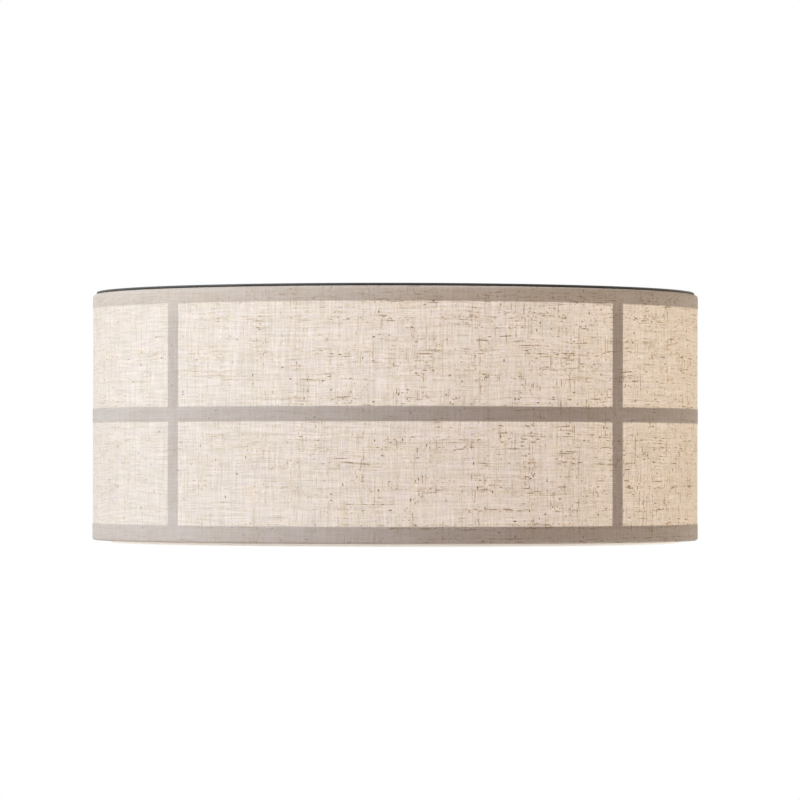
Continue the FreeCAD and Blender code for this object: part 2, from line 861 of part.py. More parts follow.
def disc_screw(x, y, head_under):
    """Screw driven down into the pan's disc."""
    screw = cross_screw(disc_screw_radius, disc_screw_head, disc_screw_head_height, disc_screw_length)
    screw.rotate(point(0, 0, 0), point(1, 0, 0), 180)
    screw.translate(point(x, y, head_under + disc_screw_head_height))
    return screw


def disc_screws():
    """Two hold the terminal block and one the earth tag."""
    screws = [disc_screw(side * fixing_place(), block_place, disc_top + block_web) for side in (-1, 1)]
    return screws + [disc_screw(0, tag_place, disc_top + tag_sheet)]


def lead_to_lamp(pole, spread, lane, lamp_angle, lateral):
    """From a clamp of the block, over the pan, down through the grommet and out along the nipple."""
    x = pole + lead_bundle * math.cos(math.radians(spread))
    z = block_level + lead_bundle * math.sin(math.radians(spread))
    radial = point(math.cos(math.radians(lamp_angle)), math.sin(math.radians(lamp_angle)), 0)
    across = point(-radial.y, radial.x, 0)
    over = radial * grommet_place + across * lateral
    into = radial * (bracket_face + wire_room - turning_gap) + across * lateral
    points = [point(x, block_place + clamp_end, z), point(x, block_place + clamp_out, z)]
    points += [point(x, block_place + lane_start, lane), point(over.x, over.y, lane)]
    points += [point(over.x, over.y, lamp_level), point(into.x, into.y, lamp_level)]
    return lead_along(points)


def lead_grommet(angle):
    low = reflector_under - grommet_lip
    high = disc_top + grommet_lip
    corners = [(grommet_bore, low), (grommet_radius, low), (grommet_radius, reflector_under - bar_gap)]
    corners += [(grommet_neck, reflector_under - bar_gap), (grommet_neck, disc_top + bar_gap)]
    corners += [(grommet_radius, disc_top + bar_gap), (grommet_radius, high), (grommet_bore, high)]
    grommet = turned_upright(corners)
    grommet.translate(point(grommet_place, 0, 0))
    return at_angle(grommet, angle)


def earth_tag():
    under = disc_top
    top = under + tag_sheet
    neck_end = tag_place - tag_radius - tag_neck
    barrel_start = neck_end - tag_barrel_length + tag_joint
    level = under + tag_barrel
    tag = peg(tag_radius, 0, tag_place, under, top)
    tag = tag.fuse(block(point(-tag_neck_half, neck_end, under), point(tag_neck_half, tag_place, top)))
    tag = tag.fuse(along_y(tag_barrel, 0, barrel_start, tag_barrel_length, level))
    lead_hole = along_y(lead_radius + turning_gap, 0, barrel_start - past,
                        tag_barrel_length + 2 * past, level)
    tag = tag.cut(lead_hole)
    tag = tag.cut(peg(disc_screw_radius + turning_gap, 0, tag_place, under - past, top + past))
    return tag.removeSplitter()


def earth_lead():
    barrel_start = tag_place - tag_radius - tag_neck - tag_barrel_length
    level = disc_top + tag_barrel
    points = [point(0, block_place + clamp_end, block_level)]
    points += [point(0, block_place + clamp_out, block_level)]
    points += [point(0, barrel_start - earth_lead_run, level)]
    points += [point(0, barrel_start + tag_barrel_length - tag_stop, level)]
    return lead_along(points)


os.makedirs("parts", exist_ok=True)

save("linen_skin", linen_skin())
save("shade_lining", shade_lining())
save("frame_top_ring", frame_top_ring())
save("frame_middle_ring", frame_middle_ring())
save("frame_bottom_ring", frame_bottom_ring())
save("diffuser_ledge", diffuser_ledge())
for number, angle in enumerate(angles(upright_count, upright_start_degrees), 1):
    save(f"frame_upright_{number}", frame_upright(angle))
for number, angle in enumerate(angles(hanger_count, hanger_start_degrees), 1):
    save(f"bayonet_hanger_{number}", bayonet_hanger(angle))
save_group("hanger_rivets", [hanger_rivet(angle) for angle in rivet_angles()])
save("diffuser_dish", diffuser_dish())

save("ceiling_pan", ceiling_pan())
save("reflector_plate", reflector_plate())
save_group("bayonet_studs", [bayonet_stud(angle) for angle in angles(hanger_count, hanger_start_degrees)])
save("mounting_crossbar", mounting_crossbar())
save_group("pan_screws", [pan_screw(side) for side in (-1, 1)])

lamps = list(enumerate(angles(lamp_count, lamp_start_degrees), 1))
for number, angle in lamps:
    save(f"holder_bracket_{number}", at_lamp(holder_bracket(), angle))
    save(f"holder_body_{number}", at_lamp(holder_body(), angle))
    save(f"holder_shell_{number}", at_lamp(holder_shell(), angle))
    save(f"holder_contact_{number}", at_lamp(holder_contact(), angle))
    save(f"bulb_foot_{number}", at_lamp(bulb_foot(), angle))
    save(f"bulb_cap_{number}", at_lamp(bulb_cap(), angle))
    save(f"bulb_collar_{number}", at_lamp(bulb_collar(), angle))
    save(f"bulb_dome_{number}", at_lamp(bulb_dome(), angle))
save_group("holder_nipples", [at_lamp(holder_nipple(), angle) for number, angle in lamps])
save_group("holder_locknuts", [at_lamp(holder_locknut(), angle) for number, angle in lamps])
save_group("bracket_screws", [at_lamp(bracket_screw(x, y), angle)
                              for number, angle in lamps for x, y in bracket_screw_places()])
save_group("lead_grommets", [lead_grommet(angle) for number, angle in lamps])

save("terminal_block", terminal_block())
save_group("terminal_inserts", [terminal_insert(x) for x in pole_places()])
save_group("terminal_screws", [clamp_screw(x, y) for x, y in clamp_places()])
save_group("disc_screws", disc_screws())
save("earth_tag", earth_tag())
save("earth_lead", earth_lead())

live_spreads = [330, 210, 90]
live_lanes = [base_lane, base_lane, live_lane]
neutral_spreads = [210, 90, 330]
neutral_lanes = [base_lane, neutral_lane, base_lane]
for number, angle in lamps:
    live = lead_to_lamp(-pole_pitch, live_spreads[number - 1], live_lanes[number - 1], angle, lead_pair)
    neutral = lead_to_lamp(pole_pitch, neutral_spreads[number - 1], neutral_lanes[number - 1], angle,
                           -lead_pair)
    save(f"live_lead_{number}", live)
    save(f"neutral_lead_{number}", neutral)
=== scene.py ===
# Flush mount ceiling light: linen drum on a flat-bar frame, opal diffuser, three lamps on a ceiling pan.
import json
import math
import bpy
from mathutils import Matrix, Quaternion, Vector


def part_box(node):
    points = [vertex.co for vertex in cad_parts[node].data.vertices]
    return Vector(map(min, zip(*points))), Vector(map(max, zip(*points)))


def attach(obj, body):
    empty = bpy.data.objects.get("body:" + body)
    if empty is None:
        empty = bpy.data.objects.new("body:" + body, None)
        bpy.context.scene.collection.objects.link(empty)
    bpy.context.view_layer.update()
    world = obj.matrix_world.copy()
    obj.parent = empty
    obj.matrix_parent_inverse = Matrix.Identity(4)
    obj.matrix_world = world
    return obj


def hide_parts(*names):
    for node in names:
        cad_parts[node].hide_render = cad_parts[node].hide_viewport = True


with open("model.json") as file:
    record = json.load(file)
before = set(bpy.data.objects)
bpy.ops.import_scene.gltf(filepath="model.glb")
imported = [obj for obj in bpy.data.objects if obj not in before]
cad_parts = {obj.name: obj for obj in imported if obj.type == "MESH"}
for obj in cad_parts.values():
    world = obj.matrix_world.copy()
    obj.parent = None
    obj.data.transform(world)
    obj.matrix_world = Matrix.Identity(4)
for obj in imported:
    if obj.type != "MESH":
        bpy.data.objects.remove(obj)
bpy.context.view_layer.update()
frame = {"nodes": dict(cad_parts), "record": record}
nodes = frame["nodes"]
mm = 0.001
perMetre = 1 / mm
noiseMiddle = 0.5  # what a noise texture gives on average
white = (1, 1, 1)
black = (0, 0, 0)
print("stage: frame loaded with", len(nodes), "nodes")


# small helpers that add nodes to a tree; a value is a plain one or another node's output
def feed(tree, value, socket):
    if isinstance(value, bpy.types.NodeSocket):
        tree.links.new(value, socket)
    elif value is not None:
        socket.default_value = value


def put(tree, kind, inputs=None, **settings):
    node = tree.nodes.new(kind)
    for name, value in settings.items():
        setattr(node, name, value)
    for key, value in (inputs or {}).items():
        feed(tree, value, node.inputs[key])
    return node


def calc(tree, operation, *values, clamp=False):
    node = put(tree, "ShaderNodeMath", dict(enumerate(values)), operation=operation, use_clamp=clamp)
    return node.outputs[0]


def vectorCalc(tree, operation, first, second):
    node = put(tree, "ShaderNodeVectorMath", {0: first, 1: second}, operation=operation)
    return node.outputs["Value" if operation == "DISTANCE" else "Vector"]


def joined(tree, *values):
    return put(tree, "ShaderNodeCombineXYZ", dict(enumerate(values))).outputs[0]


def parted(tree, vector):
    return put(tree, "ShaderNodeSeparateXYZ", {0: vector}).outputs


def largest(tree, first, *others):
    for other in others:
        first = calc(tree, "MAXIMUM", first, other)
    return first


def fromNearest(tree, steps):
    # how far a place lies from its nearest whole step
    return calc(tree, "ABSOLUTE", calc(tree, "SUBTRACT", steps, calc(tree, "ROUND", steps)))


def remap(tree, value, low, high, toLow=0.0, toHigh=1.0):
    # a Range in the dictionaries below holds what comes after the value here
    inputs = dict(enumerate((value, low, high, toLow, toHigh)))
    return put(tree, "ShaderNodeMapRange", inputs, interpolation_type="SMOOTHSTEP").outputs[0]


def noise(tree, vector, scale, detail=2.0, roughness=0.5, output=0):
    inputs = {"Vector": vector, "Scale": scale, "Detail": detail, "Roughness": roughness}
    return put(tree, "ShaderNodeTexNoise", inputs).outputs[output]


def stretched(tree, vector, scale, offset=(0, 0, 0)):
    return put(tree, "ShaderNodeMapping", {"Vector": vector, "Scale": scale, "Location": offset}).outputs[0]


def redOf(tree, colour):
    return put(tree, "ShaderNodeSeparateColor", {0: colour}).outputs[0]


def mixed(tree, mask, first, second, how="MIX"):
    node = put(tree, "ShaderNodeMix", data_type="RGBA", blend_type=how, clamp_factor=True)
    feed(tree, mask, node.inputs[0])
    for value, index in ((first, 6), (second, 7)):  # the node's two colour sockets
        feed(tree, (*value, 1.0) if isinstance(value, tuple) else value, node.inputs[index])
    return node.outputs[2]


def tinted(tree, first, second):
    return mixed(tree, 1.0, first, second, "MULTIPLY")


def newGroup(name, inputs, outputs, kind="ShaderNodeTree"):
    group = bpy.data.node_groups.new(name, kind)
    for label, socketKind, value in inputs:
        socket = group.interface.new_socket(label, in_out="INPUT", socket_type=socketKind)
        if value is not None:
            socket.default_value = value
    for label, socketKind in outputs:
        group.interface.new_socket(label, in_out="OUTPUT", socket_type=socketKind)
    return group, put(group, "NodeGroupInput").outputs, put(group, "NodeGroupOutput").inputs


def useGroup(tree, group, inputs):
    return put(tree, "ShaderNodeGroup", inputs, node_tree=group).outputs


def newMaterial(name, surface):
    material = bpy.data.materials.new(name)
    material.use_nodes = True
    tree = material.node_tree
    shader = tree.nodes["Principled BSDF"]
    for label, value in surface.items():
        shader.inputs[label].default_value = value
    return material, tree, shader


def objectPlace(tree):
    return put(tree, "ShaderNodeTexCoord").outputs["Object"]


def bumped(tree, shader, height, strength, distance):
    node = put(tree, "ShaderNodeBump", {"Height": height, "Strength": strength, "Distance": distance})
    tree.links.new(node.outputs[0], shader.inputs["Normal"])


# effects that several materials share, as shader node groups
yarn = {
    # a Step is how fast a thread changes along its length, per millimetre; a Jump parts neighbouring threads
    "longStep": 0.075, "longJump": 5.17, "longFrom": 0.475, "longTo": 0.73, "longShare": 0.8,
    "shortStep": 0.30, "shortJump": 9.71, "shortFrom": 0.47, "shortTo": 0.78,
    "toneStep": 0.04, "toneJump": 3.37, "faintest": 0.25, "strongest": 1.15, "detail": 1.0, "fuzz": 0.55,
    "weftSeed": 2.3, "warpSeed": 7.9, "warpShare": 0.9,
}

weave = {  # sizes are per millimetre of cloth
    "drift": 5.0, "driftSize": 0.022, "driftDetail": 1.0, "patchDetail": 2.0, "patchFuzz": 0.6,
    "gatherSize": (0.05, 0.06, 1), "gatherStart": (5, 23, 0), "gatherRange": (0.36, 0.64, 0.6, 1.05),
    "knotSizes": ((0.15, 0.32, 1), (0.32, 0.15, 1)), "knotRange": (0.10, 0.24, 1.0, 0.0), "knotChance": 0.972,
    "crossedRange": (0.35, 1.0, 0.0, 0.65),
    "ochreSize": (0.09, 0.11, 1), "ochreStart": (41, 3, 0), "ochreRange": (0.40, 0.62),
    "rowSize": (0.020, 0.15, 1), "rowStart": (9, 61, 0),
    "columnSize": (0.15, 0.022, 1), "columnStart": (27, 33, 0), "stripeFuzz": 0.5,
    "patchGain": 3.0, "toneGain": 2.5, "crossingRaise": 0.5, "slubRaise": 0.8,
}


def makeYarn(group, across, along, pitch, seed):
    # one set of threads: dashes where a thread thickens, its slow change of tone and its round profile
    steps = calc(group, "DIVIDE", across, pitch)
    index = calc(group, "FLOOR", steps)
    profile = calc(group, "SINE", calc(group, "MULTIPLY", steps, math.pi))

    def alongThread(kind):
        place = calc(group, "MULTIPLY", along, yarn[kind + "Step"])
        thread = calc(group, "MULTIPLY", index, yarn[kind + "Jump"])
        return noise(group, joined(group, place, thread, seed), 1.0, yarn["detail"], yarn["fuzz"])

    def dashes(kind):
        return remap(group, alongThread(kind), yarn[kind + "From"], yarn[kind + "To"])

    chance = put(group, "ShaderNodeTexWhiteNoise", {"W": calc(group, "ADD", index, seed)},
                 noise_dimensions="1D").outputs["Value"]
    dash = largest(group, calc(group, "MULTIPLY", dashes("long"), yarn["longShare"]), dashes("short"))
    dash = calc(group, "MULTIPLY", dash, remap(group, chance, 0.0, 1.0, yarn["faintest"], yarn["strongest"]))
    tone = calc(group, "SUBTRACT", alongThread("tone"), noiseMiddle)
    return dash, tone, profile


def makeLinenWeave():
    # coordinates in millimetres along and up the cloth
    group, given, out = newGroup(
        "linenWeave",
        [("Vector", "NodeSocketVector", None), ("Thread Pitch", "NodeSocketFloat", 0.75)],
        [(label, "NodeSocketFloat") for label in ("Slubs", "Knots", "Ochre", "Patches", "Tone", "Height")])
    place, pitch = given["Vector"], given["Thread Pitch"]

    def patches(kind, fuzz=weave["patchFuzz"]):
        spot = stretched(group, place, weave[kind + "Size"], weave[kind + "Start"])
        return noise(group, spot, 1.0, weave["patchDetail"], fuzz)

    drift = noise(group, place, weave["driftSize"], weave["driftDetail"], output="Color")
    drift = vectorCalc(group, "SUBTRACT", drift, (noiseMiddle,) * 3)
    drift = vectorCalc(group, "MULTIPLY", drift, (weave["drift"],) * 3)
    along, up, _ = parted(group, vectorCalc(group, "ADD", place, drift))
    weft, weftTone, weftProfile = makeYarn(group, up, along, pitch, yarn["weftSeed"])
    warp, warpTone, warpProfile = makeYarn(group, along, up, pitch, yarn["warpSeed"])
    gather = remap(group, patches("gather"), *weave["gatherRange"])
    slubs = largest(group, weft, calc(group, "MULTIPLY", warp, yarn["warpShare"]))
    slubs = calc(group, "MULTIPLY", slubs, gather)
    feed(group, slubs, out["Slubs"])

    knots = []
    for size in weave["knotSizes"]:
        cell = put(group, "ShaderNodeTexVoronoi", {"Vector": stretched(group, place, size), "Scale": 1.0},
                   voronoi_dimensions="2D").outputs
        core = remap(group, cell["Distance"], *weave["knotRange"])
        chosen = remap(group, redOf(group, cell["Color"]), weave["knotChance"], 1.0)
        knots.append(calc(group, "MULTIPLY", core, chosen))
    crossed = calc(group, "MULTIPLY", calc(group, "MULTIPLY", weft, warp), gather)
    feed(group, largest(group, remap(group, crossed, *weave["crossedRange"]), *knots), out["Knots"])

    ochre = remap(group, patches("ochre"), *weave["ochreRange"])
    feed(group, ochre, out["Ochre"])
    stripes = calc(group, "ADD", patches("row", weave["stripeFuzz"]), patches("column", weave["stripeFuzz"]))
    uneven = calc(group, "SUBTRACT", stripes, 2 * noiseMiddle)
    feed(group, calc(group, "MULTIPLY", uneven, weave["patchGain"]), out["Patches"])
    tone = calc(group, "ADD", weftTone, warpTone)
    feed(group, calc(group, "MULTIPLY", tone, weave["toneGain"]), out["Tone"])
    crossing = calc(group, "MULTIPLY", weftProfile, warpProfile)
    height = calc(group, "ADD", calc(group, "MULTIPLY", crossing, weave["crossingRaise"]),
                  calc(group, "MULTIPLY", slubs, weave["slubRaise"]))
    feed(group, height, out["Height"])
    return group


grain = {  # powder coat, glaze and moulded plastic; sizes are per metre
    "markSize": (40, 40, 160), "markDetail": 4.0, "markFuzz": 0.65, "markRange": (0.42, 0.72),
    "dustSize": 55.0, "dustDetail": 5.0, "dustFuzz": 0.7, "dustRange": (0.40, 0.70),
}


def makeCoatGrain():
    # orange peel, handling marks and dust of a powder coat or moulded surface
    group, given, out = newGroup(
        "coatGrain",
        [("Vector", "NodeSocketVector", None), ("Grain Size", "NodeSocketFloat", 0.6)],
        [("Height", "NodeSocketFloat"), ("Marks", "NodeSocketFloat"), ("Dust", "NodeSocketFloat")])
    place = given["Vector"]
    peel = noise(group, place, calc(group, "DIVIDE", perMetre, given["Grain Size"]))
    feed(group, peel, out["Height"])
    spot = stretched(group, place, grain["markSize"])
    marks = noise(group, spot, 1.0, grain["markDetail"], grain["markFuzz"])
    feed(group, remap(group, marks, *grain["markRange"]), out["Marks"])
    dust = noise(group, place, grain["dustSize"], grain["dustDetail"], grain["dustFuzz"])
    feed(group, remap(group, dust, *grain["dustRange"]), out["Dust"])
    return group


wear = {  # plated and bare metal; sizes are per metre
    "acrossSize": 2600.0, "streakDetail": 3.0, "streakFuzz": 0.6, "spangleSize": 190.0,
    "spotSize": 120.0, "spotDetail": 4.0, "spotFuzz": 0.7, "spotRange": (0.55, 0.75),
}


def makeMetalWear():
    # fine drawn streaks, spangle and dull spots of plated or bare metal
    group, given, out = newGroup(
        "metalWear",
        [("Vector", "NodeSocketVector", None), ("Streak Length", "NodeSocketFloat", 12.0)],
        [("Streaks", "NodeSocketFloat"), ("Spangle", "NodeSocketFloat"), ("Spots", "NodeSocketFloat")])
    place = given["Vector"]
    along = calc(group, "DIVIDE", perMetre, given["Streak Length"])
    across = wear["acrossSize"]
    drawn = vectorCalc(group, "MULTIPLY", place, joined(group, along, across, across))
    feed(group, noise(group, drawn, 1.0, wear["streakDetail"], wear["streakFuzz"]), out["Streaks"])
    cells = put(group, "ShaderNodeTexVoronoi", {"Vector": place, "Scale": wear["spangleSize"]})
    feed(group, redOf(group, cells.outputs["Color"]), out["Spangle"])
    spots = noise(group, place, wear["spotSize"], wear["spotDetail"], wear["spotFuzz"])
    feed(group, remap(group, spots, *wear["spotRange"]), out["Spots"])
    return group


linenWeave = makeLinenWeave()
coatGrain = makeCoatGrain()
metalWear = makeMetalWear()
print("stage: shared effects built")


barPlan = {  # millimetres, as the frame behind the cloth
    "radius": 250.0, "halfWidth": 6.0, "soft": 0.55,
    "topLow": -14.1, "middleHigh": -96.2, "middleLow": -108.2, "bottomHigh": -190.5,
    "firstDegrees": 45.0, "uprights": 4,
}

linenLook = {
    "surface": {"Roughness": 0.9, "Specular IOR Level": 0.15, "Sheen Weight": 0.12, "Sheen Roughness": 0.5,
                "Emission Strength": 1.0},
    # the cloth over a bar, and how much darker it is over an open panel, before any light comes through; over
    # a bar the threads are painted fainter, as no light shines through them there
    "band": (0.51, 0.475, 0.46), "panelShare": (0.43, 0.555, 0.62), "bandThreads": 0.75,
    # the light through a panel, painted as glow; it is painted warmer to the right, with painted shade at
    # both ends and towards the foot
    "glow": (0.675, 0.545, 0.475), "warmGlow": (0.675, 0.51, 0.38), "warmRange": (0.08, 0.27),
    "edgeShade": (0.94, 0.90, 0.865), "edgeRange": (0.205, 0.25),
    "lowShade": (0.94, 0.925, 0.915), "lowRange": (-150.0, -50.0),
    # what still comes past a bar, with painted light on the top band that weakens towards the right
    "bleed": (0.080, 0.022, 0.002), "topBleedAndLight": (0.168, 0.093, 0.052), "bleedRange": (-30.0, -8.0),
    "bleedSide": (0.05, 0.24, 1.0, 0.4),
    # the threads
    "ochre": (0.80, 0.66, 0.44), "paleOchre": 0.9, "brown": (0.36, 0.26, 0.15), "brownFrom": 0.45,
    "knot": (0.24, 0.16, 0.10), "pink": (1.0, 0.985, 0.985), "cream": (1.0, 0.99, 0.93), "creamRange": 0.8,
    "slubLightSide": (-0.25, 0.20, 0.67, 1.18), "lightRange": (-1.2, 1.2, 1.03, 0.97), "toneShare": 0.16,
    "pitch": 0.75, "bump": 0.35, "bumpDepth": 0.00015,
}


def clothPlace(tree):
    # the cut of the angle lies on the upright behind on the left, where the real cloth has its lap seam
    turn = (0, 0, math.radians(barPlan["firstDegrees"]))
    place = put(tree, "ShaderNodeMapping", {"Vector": objectPlace(tree), "Rotation": turn}).outputs[0]
    x, y, z = parted(tree, place)
    around = calc(tree, "MULTIPLY", calc(tree, "ARCTAN2", y, x), barPlan["radius"])
    return around, calc(tree, "MULTIPLY", z, perMetre)


def barMask(tree, around, up):
    spacing = 2 * math.pi * barPlan["radius"] / barPlan["uprights"]
    half, soft = barPlan["halfWidth"], barPlan["soft"]
    away = calc(tree, "MULTIPLY", fromNearest(tree, calc(tree, "DIVIDE", around, spacing)), spacing)
    upright = remap(tree, away, half - soft, half + soft, 1.0, 0.0)

    def above(level):
        return remap(tree, up, level - soft, level + soft)

    top = above(barPlan["topLow"])
    middle = calc(tree, "SUBTRACT", above(barPlan["middleLow"]), above(barPlan["middleHigh"]))
    bottom = calc(tree, "SUBTRACT", 1.0, above(barPlan["bottomHigh"]))
    return largest(tree, upright, top, middle, bottom)


def makeLinenCloth():
    look = linenLook
    material, tree, shader = newMaterial("linenCloth", look["surface"])
    around, up = clothPlace(tree)
    bars = barMask(tree, around, up)
    threads = useGroup(tree, linenWeave, {"Vector": joined(tree, around, up), "Thread Pitch": look["pitch"]})
    side = parted(tree, objectPlace(tree))[0]
    # painted light: slubs and knots show stronger towards the right
    strength = remap(tree, side, *look["slubLightSide"])
    slubs = calc(tree, "MULTIPLY", threads["Slubs"], strength)
    knots = calc(tree, "MULTIPLY", threads["Knots"], strength, clamp=True)

    creamy = remap(tree, threads["Patches"], -look["creamRange"], look["creamRange"])
    cloth = mixed(tree, creamy, look["pink"], look["cream"])
    paleOchre = tuple(c * look["paleOchre"] for c in look["ochre"])
    thick = mixed(tree, threads["Ochre"], paleOchre, look["ochre"])
    thick = mixed(tree, remap(tree, slubs, look["brownFrom"], 1.0), thick, look["brown"])
    cloth = mixed(tree, slubs, cloth, thick)
    cloth = mixed(tree, knots, cloth, look["knot"])
    light = calc(tree, "ADD", remap(tree, threads["Patches"], *look["lightRange"]),
                 calc(tree, "MULTIPLY", threads["Tone"], look["toneShare"]))
    grey = put(tree, "ShaderNodeCombineColor", {0: light, 1: light, 2: light}).outputs[0]
    cloth = tinted(tree, cloth, grey)

    # over a bar the threads are painted fainter, where no light shines through them
    band = tinted(tree, mixed(tree, look["bandThreads"], white, cloth), look["band"])
    panelColour = tuple(a * b for a, b in zip(look["band"], look["panelShare"]))
    panel = tinted(tree, cloth, panelColour)
    feed(tree, mixed(tree, bars, panel, band), shader.inputs["Base Color"])

    # painted light: the panels glow warmer to the right, with painted shade at the drum's ends and towards
    # the foot
    glow = mixed(tree, remap(tree, side, *look["warmRange"]), look["glow"], look["warmGlow"])
    atEnd = remap(tree, calc(tree, "ABSOLUTE", side), *look["edgeRange"])
    glow = tinted(tree, glow, mixed(tree, atEnd, white, look["edgeShade"]))
    glow = tinted(tree, cloth, glow)
    glow = tinted(tree, glow, mixed(tree, remap(tree, up, *look["lowRange"]), look["lowShade"], white))
    # painted light on the top band, weaker towards the right, over the glow that comes past a bar
    topLightMask = remap(tree, up, *look["bleedRange"])
    topLightMask = calc(tree, "MULTIPLY", topLightMask, remap(tree, side, *look["bleedSide"]))
    bleed = mixed(tree, topLightMask, look["bleed"], look["topBleedAndLight"])
    # the bars' painted shadow: over a bar the painted glow gives way to the bleed
    feed(tree, mixed(tree, bars, glow, bleed), shader.inputs["Emission Color"])
    bumped(tree, shader, threads["Height"], look["bump"], look["bumpDepth"])
    return material


def addGrain(tree, shader, colour, dusty, grainSize):
    # the dust goes into the base colour; the grain's outputs are handed back for the rest
    given = useGroup(tree, coatGrain, {"Vector": objectPlace(tree), "Grain Size": grainSize})
    feed(tree, mixed(tree, given["Dust"], colour, dusty), shader.inputs["Base Color"])
    return given


filmLook = {
    "surface": {"Roughness": 0.5, "Emission Strength": 1.0},
    "colour": (0.80, 0.77, 0.72), "dusty": (0.74, 0.71, 0.66), "lit": (0.30, 0.25, 0.19),
    "shaded": (0.20, 0.16, 0.12), "grainSize": 1.5, "bump": 0.3, "bumpDepth": 0.00003,
}


def makeLiningFilm():
    look = filmLook
    material, tree, shader = newMaterial("liningFilm", look["surface"])
    bars = barMask(tree, *clothPlace(tree))
    given = addGrain(tree, shader, look["colour"], look["dusty"], look["grainSize"])
    feed(tree, mixed(tree, bars, look["lit"], look["shaded"]), shader.inputs["Emission Color"])
    bumped(tree, shader, given["Height"], look["bump"], look["bumpDepth"])
    return material


opalLook = {  # metres; each lamp behind the acrylic shows as a soft warm spot
    "surface": {"Specular IOR Level": 0.5, "Emission Strength": 1.0},
    "colour": (0.62, 0.60, 0.57), "dusty": (0.605, 0.585, 0.555), "dim": (0.31, 0.255, 0.20),
    "bright": (0.62, 0.52, 0.40), "smooth": 0.26, "dull": 0.34, "grainSize": 2.5, "bump": 0.2,
    "bumpDepth": 0.00003, "lamps": 3, "firstDegrees": 90.0, "reach": 0.140, "spread": 0.135,
}


def makeOpalAcrylic():
    look = opalLook
    material, tree, shader = newMaterial("opalAcrylic", look["surface"])
    given = addGrain(tree, shader, look["colour"], look["dusty"], look["grainSize"])
    flat = vectorCalc(tree, "MULTIPLY", objectPlace(tree), (1, 1, 0))
    glow = 0.0
    for index in range(look["lamps"]):
        angle = math.radians(look["firstDegrees"] + 360 * index / look["lamps"])
        lamp = (look["reach"] * math.cos(angle), look["reach"] * math.sin(angle), 0)
        away = vectorCalc(tree, "DISTANCE", flat, lamp)
        glow = calc(tree, "ADD", glow, remap(tree, away, 0.0, look["spread"], 1.0, 0.0))
    feed(tree, mixed(tree, glow, look["dim"], look["bright"]), shader.inputs["Emission Color"])
    feed(tree, remap(tree, given["Marks"], 0, 1, look["dull"], look["smooth"]), shader.inputs["Roughness"])
    bumped(tree, shader, given["Height"], look["bump"], look["bumpDepth"])
    return material


bulbLook = {
    "surface": {"Roughness": 0.35, "Emission Strength": 1.0},
    "colour": (0.85, 0.82, 0.76), "dusty": (0.80, 0.77, 0.71), "lit": (1.0, 0.83, 0.58),
    "shaded": (0.95, 0.78, 0.54), "grainSize": 1.2,
}


def makeBulbOpal():
    look = bulbLook
    material, tree, shader = newMaterial("bulbOpal", look["surface"])
    given = addGrain(tree, shader, look["colour"], look["dusty"], look["grainSize"])
    feed(tree, mixed(tree, given["Dust"], look["lit"], look["shaded"]), shader.inputs["Emission Color"])
    return material


earthLook = {
    "surface": {"Roughness": 0.42},
    "green": (0.08, 0.33, 0.06), "yellow": (0.80, 0.66, 0.03), "dusty": (0.45, 0.50, 0.30),
    "edge": 0.00008, "grainSize": 0.8, "bump": 0.3, "bumpDepth": 0.00003,
}


def makeStripedSleeve():
    # green and yellow insulation of the earth lead, half and half round its core
    look = earthLook
    material, tree, shader = newMaterial("greenYellowSleeve", look["surface"])
    side = remap(tree, parted(tree, objectPlace(tree))[0], -look["edge"], look["edge"])
    stripes = mixed(tree, side, look["green"], look["yellow"])
    given = addGrain(tree, shader, stripes, look["dusty"], look["grainSize"])
    bumped(tree, shader, given["Height"], look["bump"], look["bumpDepth"])
    return material


coatLook = {"surface": {"Specular IOR Level": 0.4}, "dustLift": 0.05, "rubbed": 0.88, "bump": 0.5}

coats = {  # painted, glazed, moulded and rubber surfaces, under their slots
    "frame_white": dict(name="frameWhite", colour=(0.74, 0.72, 0.68), roughness=0.55, dust=0.06),
    "pan_charcoal": dict(name="panCharcoal", colour=(0.060, 0.057, 0.057), roughness=0.60, dust=0.12),
    "reflector_white": dict(name="reflectorWhite", colour=(0.82, 0.82, 0.80), roughness=0.40, dust=0.04),
    "porcelain": dict(name="glazedPorcelain", colour=(0.84, 0.83, 0.79), roughness=0.16, dust=0.03,
                      grainSize=3.0, depth=0.00004),
    "terminal_plastic": dict(name="terminalPlastic", colour=(0.80, 0.79, 0.73), roughness=0.42, dust=0.05,
                             grainSize=1.0),
    "bulb_plastic": dict(name="bulbPlastic", colour=(0.84, 0.84, 0.82), roughness=0.30, dust=0.03,
                         grainSize=1.2),
    "black_insulator": dict(name="blackInsulator", colour=(0.020, 0.020, 0.022), roughness=0.22, dust=0.4,
                            grainSize=1.5),
    "grommet_rubber": dict(name="grommetRubber", colour=(0.030, 0.030, 0.031), roughness=0.72, dust=0.5,
                           grainSize=0.8, depth=0.00006),
    "brown_sleeve": dict(name="brownSleeve", colour=(0.13, 0.050, 0.022), roughness=0.40, dust=0.2,
                         grainSize=0.8),
    "blue_sleeve": dict(name="blueSleeve", colour=(0.030, 0.105, 0.36), roughness=0.40, dust=0.2,
                        grainSize=0.8),
}


def makeCoat(name, colour, roughness, dust, grainSize=0.6, depth=0.00003):
    material, tree, shader = newMaterial(name, coatLook["surface"])
    dusty = tuple(min(1.0, c * (1 + dust) + dust * coatLook["dustLift"]) for c in colour)
    given = addGrain(tree, shader, colour, dusty, grainSize)
    rubbed = roughness * coatLook["rubbed"]
    feed(tree, remap(tree, given["Marks"], 0, 1, roughness, rubbed), shader.inputs["Roughness"])
    bumped(tree, shader, given["Height"], coatLook["bump"], depth)
    return material


metalLook = {
    "streakLength": 12.0, "streakRange": (0.3, 0.7), "spangle": 0.90, "smoothest": 0.75, "roughest": 1.3,
    "spotRoughness": 0.15, "spotMetal": 0.85, "bump": 0.25, "bumpDepth": 0.00002,
}

